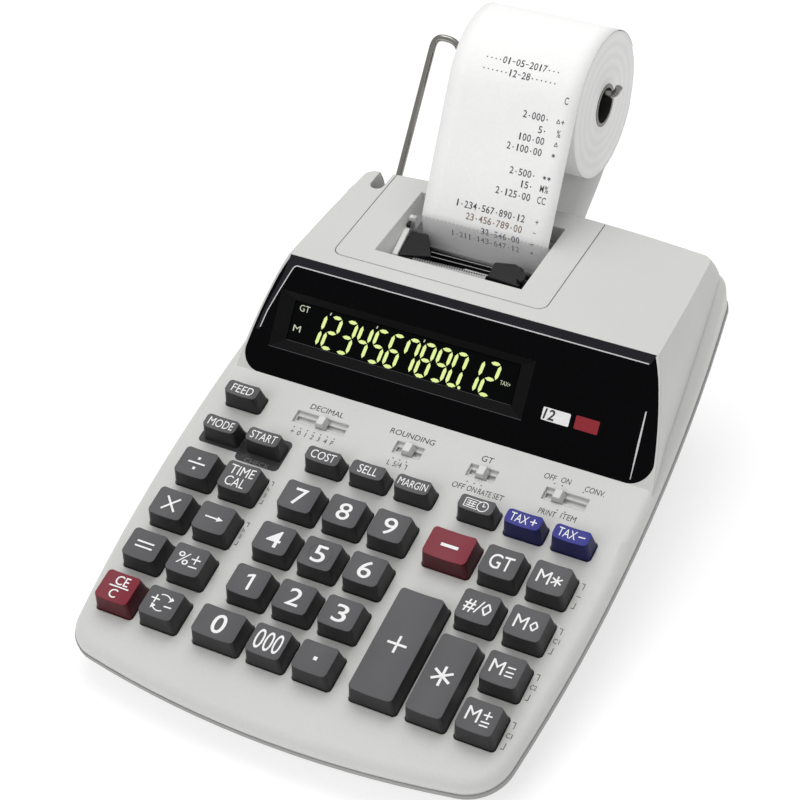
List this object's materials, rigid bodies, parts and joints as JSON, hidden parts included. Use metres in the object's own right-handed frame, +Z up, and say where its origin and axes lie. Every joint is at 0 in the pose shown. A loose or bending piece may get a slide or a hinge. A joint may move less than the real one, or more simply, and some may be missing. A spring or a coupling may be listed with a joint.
{
  "type": "printing desk calculator",
  "caption": "Desk calculator with sloping keyboard, raised display and roof printer, fed by a paper roll on a tilting wire arm",
  "frame": {"origin": "on the table under the middle of the raised housing, at the bottom of the rubber feet", "axes": "+X to the user's right, +Y to the back, +Z up"},
  "size_m": [0.1928, 0.3057, 0.1487],
  "materials": {
    "case_plastic": "light warm-grey moulded plastic, fine grain",
    "base_plastic": "mid-grey moulded plastic",
    "panel_plastic": "black piano-gloss moulded plastic",
    "display_glass": "dark glossy filter with pale green segments",
    "key_dark": "charcoal moulded keys with printed legends",
    "key_red": "dark red moulded key",
    "key_blue": "blue moulded keys",
    "knob_plastic": "light grey moulded knob",
    "socket_plastic": "black moulded socket",
    "rubber": "black rubber",
    "mat_rubber": "grey silicone rubber",
    "steel": "bright steel",
    "clear_plastic": "clear plastic with a cut edge",
    "mechanism": "black moulded frame",
    "ink": "inked foam roller",
    "paper": "white bond paper, printed figures",
    "cardboard": "grey-brown card tube",
    "circuit_board": "green circuit board"
  },
  "bodies": {
    "case": {"upper_case": "case_plastic", "lower_case": "base_plastic", "display_panel": "panel_plastic", "display_tube": "display_glass", "rubber_feet": "rubber", "case_screws": "steel", "keyboard_board": "circuit_board", "key_mat": "mat_rubber", "printer_frame": "mechanism", "power_jack": "socket_plastic", "paper_tape": "paper"},
    "arm": {"paper_arm": "steel"},
    "roll": {"paper_roll": "paper", "roll_core": "cardboard"},
    "cover": {"printer_cover": "case_plastic", "tear_bar": "clear_plastic"},
    "feed": {"feed_roller": "rubber"},
    "ink": {"ink_roller": "ink"},
    "switch_decimal": {"switch_decimal": "knob_plastic"},
    "switch_rounding": {"switch_rounding": "knob_plastic"},
    "switch_rate": {"switch_rate": "knob_plastic"},
    "switch_power": {"switch_power": "knob_plastic"},
    "key_divide": {"key_divide": "key_dark"},
    "key_multiply": {"key_multiply": "key_dark"},
    "key_equals": {"key_equals": "key_dark"},
    "key_clear_entry": {"key_clear_entry": "key_red"},
    "key_time_calendar": {"key_time_calendar": "key_dark"},
    "key_backspace": {"key_backspace": "key_dark"},
    "key_percent": {"key_percent": "key_dark"},
    "key_sign_change": {"key_sign_change": "key_dark"},
    "key_7": {"key_7": "key_dark"},
    "key_8": {"key_8": "key_dark"},
    "key_9": {"key_9": "key_dark"},
    "key_4": {"key_4": "key_dark"},
    "key_5": {"key_5": "key_dark"},
    "key_6": {"key_6": "key_dark"},
    "key_1": {"key_1": "key_dark"},
    "key_2": {"key_2": "key_dark"},
    "key_3": {"key_3": "key_dark"},
    "key_0": {"key_0": "key_dark"},
    "key_000": {"key_000": "key_dark"},
    "key_point": {"key_point": "key_dark"},
    "key_minus": {"key_minus": "key_red"},
    "key_plus": {"key_plus": "key_dark"},
    "key_total": {"key_total": "key_dark"},
    "key_grand_total": {"key_grand_total": "key_dark"},
    "key_subtotal": {"key_subtotal": "key_dark"},
    "key_memory_total": {"key_memory_total": "key_dark"},
    "key_memory_subtotal": {"key_memory_subtotal": "key_dark"},
    "key_memory_equals": {"key_memory_equals": "key_dark"},
    "key_memory_plus_minus": {"key_memory_plus_minus": "key_dark"},
    "key_feed": {"key_feed": "key_dark"},
    "key_mode": {"key_mode": "key_dark"},
    "key_start": {"key_start": "key_dark"},
    "key_cost": {"key_cost": "key_dark"},
    "key_sell": {"key_sell": "key_dark"},
    "key_margin": {"key_margin": "key_dark"},
    "key_clock": {"key_clock": "key_dark"},
    "key_tax_plus": {"key_tax_plus": "key_blue"},
    "key_tax_minus": {"key_tax_minus": "key_blue"}
  },
  "joints": [
    {"name": "paper_arm_tilt", "type": "hinge", "parent": "case", "child": "arm", "pos_m": [-0.062, 0.113, 0.0611], "axis": [1, 0, 0], "range_deg": [0, 40], "deforming": ["paper_tape"]},
    {"name": "cover_lift", "type": "slide", "parent": "case", "child": "cover", "axis": [0, 0, 1], "range_m": [0, 0.014]},
    {"name": "roll_spin", "type": "hinge", "parent": "arm", "child": "roll", "pos_m": [-0.0135, 0.1557, 0.1175], "axis": [1, 0, 0], "continuous": true},
    {"name": "feed_roller_spin", "type": "hinge", "parent": "case", "child": "feed", "pos_m": [-0.0135, 0.1044, 0.0695], "axis": [1, 0, 0], "continuous": true},
    {"name": "ink_roller_spin", "type": "hinge", "parent": "case", "child": "ink", "pos_m": [0.006, 0.0805, 0.073], "axis": [1, 0, 0], "continuous": true},
    {"name": "switch_decimal_slide", "type": "slide", "parent": "case", "child": "switch_decimal", "axis": [1, 0, 0], "range_m": [-0.0092, 0.0082]},
    {"name": "switch_rounding_slide", "type": "slide", "parent": "case", "child": "switch_rounding", "axis": [1, 0, 0], "range_m": [-0.003, 0.003]},
    {"name": "switch_rate_slide", "type": "slide", "parent": "case", "child": "switch_rate", "axis": [1, 0, 0], "range_m": [-0.003, 0.003]},
    {"name": "switch_power_slide", "type": "slide", "parent": "case", "child": "switch_power", "axis": [1, 0, 0], "range_m": [-0.003, 0.009]},
    {"name": "key_divide_press", "type": "slide", "parent": "case", "child": "key_divide", "axis": [0, 0.1994, -0.9799], "range_m": [0, 0.003], "stiffness_N_per_m": 200},
    {"name": "key_multiply_press", "type": "slide", "parent": "case", "child": "key_multiply", "axis": [0, 0.1994, -0.9799], "range_m": [0, 0.003], "stiffness_N_per_m": 200},
    {"name": "key_equals_press", "type": "slide", "parent": "case", "child": "key_equals", "axis": [0, 0.1994, -0.9799], "range_m": [0, 0.003], "stiffness_N_per_m": 200},
    {"name": "key_clear_entry_press", "type": "slide", "parent": "case", "child": "key_clear_entry", "axis": [0, 0.1994, -0.9799], "range_m": [0, 0.003], "stiffness_N_per_m": 200},
    {"name": "key_time_calendar_press", "type": "slide", "parent": "case", "child": "key_time_calendar", "axis": [0, 0.1994, -0.9799], "range_m": [0, 0.003], "stiffness_N_per_m": 200},
    {"name": "key_backspace_press", "type": "slide", "parent": "case", "child": "key_backspace", "axis": [0, 0.1994, -0.9799], "range_m": [0, 0.003], "stiffness_N_per_m": 200},
    {"name": "key_percent_press", "type": "slide", "parent": "case", "child": "key_percent", "axis": [0, 0.1994, -0.9799], "range_m": [0, 0.003], "stiffness_N_per_m": 200},
    {"name": "key_sign_change_press", "type": "slide", "parent": "case", "child": "key_sign_change", "axis": [0, 0.1994, -0.9799], "range_m": [0, 0.003], "stiffness_N_per_m": 200},
    {"name": "key_7_press", "type": "slide", "parent": "case", "child": "key_7", "axis": [0, 0.1994, -0.9799], "range_m": [0, 0.003], "stiffness_N_per_m": 200},
    {"name": "key_8_press", "type": "slide", "parent": "case", "child": "key_8", "axis": [0, 0.1994, -0.9799], "range_m": [0, 0.003], "stiffness_N_per_m": 200},
    {"name": "key_9_press", "type": "slide", "parent": "case", "child": "key_9", "axis": [0, 0.1994, -0.9799], "range_m": [0, 0.003], "stiffness_N_per_m": 200},
    {"name": "key_4_press", "type": "slide", "parent": "case", "child": "key_4", "axis": [0, 0.1994, -0.9799], "range_m": [0, 0.003], "stiffness_N_per_m": 200},
    {"name": "key_5_press", "type": "slide", "parent": "case", "child": "key_5", "axis": [0, 0.1994, -0.9799], "range_m": [0, 0.003], "stiffness_N_per_m": 200},
    {"name": "key_6_press", "type": "slide", "parent": "case", "child": "key_6", "axis": [0, 0.1994, -0.9799], "range_m": [0, 0.003], "stiffness_N_per_m": 200},
    {"name": "key_1_press", "type": "slide", "parent": "case", "child": "key_1", "axis": [0, 0.1994, -0.9799], "range_m": [0, 0.003], "stiffness_N_per_m": 200},
    {"name": "key_2_press", "type": "slide", "parent": "case", "child": "key_2", "axis": [0, 0.1994, -0.9799], "range_m": [0, 0.003], "stiffness_N_per_m": 200},
    {"name": "key_3_press", "type": "slide", "parent": "case", "child": "key_3", "axis": [0, 0.1994, -0.9799], "range_m": [0, 0.003], "stiffness_N_per_m": 200},
    {"name": "key_0_press", "type": "slide", "parent": "case", "child": "key_0", "axis": [0, 0.1994, -0.9799], "range_m": [0, 0.003], "stiffness_N_per_m": 200},
    {"name": "key_000_press", "type": "slide", "parent": "case", "child": "key_000", "axis": [0, 0.1994, -0.9799], "range_m": [0, 0.003], "stiffness_N_per_m": 200},
    {"name": "key_point_press", "type": "slide", "parent": "case", "child": "key_point", "axis": [0, 0.1994, -0.9799], "range_m": [0, 0.003], "stiffness_N_per_m": 200},
    {"name": "key_minus_press", "type": "slide", "parent": "case", "child": "key_minus", "axis": [0, 0.1994, -0.9799], "range_m": [0, 0.003], "stiffness_N_per_m": 200},
    {"name": "key_plus_press", "type": "slide", "parent": "case", "child": "key_plus", "axis": [0, 0.1994, -0.9799], "range_m": [0, 0.003], "stiffness_N_per_m": 200},
    {"name": "key_total_press", "type": "slide", "parent": "case", "child": "key_total", "axis": [0, 0.1994, -0.9799], "range_m": [0, 0.003], "stiffness_N_per_m": 200},
    {"name": "key_grand_total_press", "type": "slide", "parent": "case", "child": "key_grand_total", "axis": [0, 0.1994, -0.9799], "range_m": [0, 0.003], "stiffness_N_per_m": 200},
    {"name": "key_subtotal_press", "type": "slide", "parent": "case", "child": "key_subtotal", "axis": [0, 0.1994, -0.9799], "range_m": [0, 0.003], "stiffness_N_per_m": 200},
    {"name": "key_memory_total_press", "type": "slide", "parent": "case", "child": "key_memory_total", "axis": [0, 0.1994, -0.9799], "range_m": [0, 0.003], "stiffness_N_per_m": 200},
    {"name": "key_memory_subtotal_press", "type": "slide", "parent": "case", "child": "key_memory_subtotal", "axis": [0, 0.1994, -0.9799], "range_m": [0, 0.003], "stiffness_N_per_m": 200},
    {"name": "key_memory_equals_press", "type": "slide", "parent": "case", "child": "key_memory_equals", "axis": [0, 0.1994, -0.9799], "range_m": [0, 0.003], "stiffness_N_per_m": 200},
    {"name": "key_memory_plus_minus_press", "type": "slide", "parent": "case", "child": "key_memory_plus_minus", "axis": [0, 0.1994, -0.9799], "range_m": [0, 0.003], "stiffness_N_per_m": 200},
    {"name": "key_feed_press", "type": "slide", "parent": "case", "child": "key_feed", "axis": [0, 0.1994, -0.9799], "range_m": [0, 0.003], "stiffness_N_per_m": 200},
    {"name": "key_mode_press", "type": "slide", "parent": "case", "child": "key_mode", "axis": [0, 0.1994, -0.9799], "range_m": [0, 0.003], "stiffness_N_per_m": 200},
    {"name": "key_start_press", "type": "slide", "parent": "case", "child": "key_start", "axis": [0, 0.1994, -0.9799], "range_m": [0, 0.003], "stiffness_N_per_m": 200},
    {"name": "key_cost_press", "type": "slide", "parent": "case", "child": "key_cost", "axis": [0, 0.1994, -0.9799], "range_m": [0, 0.003], "stiffness_N_per_m": 200},
    {"name": "key_sell_press", "type": "slide", "parent": "case", "child": "key_sell", "axis": [0, 0.1994, -0.9799], "range_m": [0, 0.003], "stiffness_N_per_m": 200},
    {"name": "key_margin_press", "type": "slide", "parent": "case", "child": "key_margin", "axis": [0, 0.1994, -0.9799], "range_m": [0, 0.003], "stiffness_N_per_m": 200},
    {"name": "key_clock_press", "type": "slide", "parent": "case", "child": "key_clock", "axis": [0, 0.1994, -0.9799], "range_m": [0, 0.003], "stiffness_N_per_m": 200},
    {"name": "key_tax_plus_press", "type": "slide", "parent": "case", "child": "key_tax_plus", "axis": [0, 0.1994, -0.9799], "range_m": [0, 0.003], "stiffness_N_per_m": 200},
    {"name": "key_tax_minus_press", "type": "slide", "parent": "case", "child": "key_tax_minus", "axis": [0, 0.1994, -0.9799], "range_m": [0, 0.003], "stiffness_N_per_m": 200}
  ],
  "couplings": [
    {"joint": "feed_roller_spin", "follows": "roll_spin", "ratio": 6.1}
  ]
}
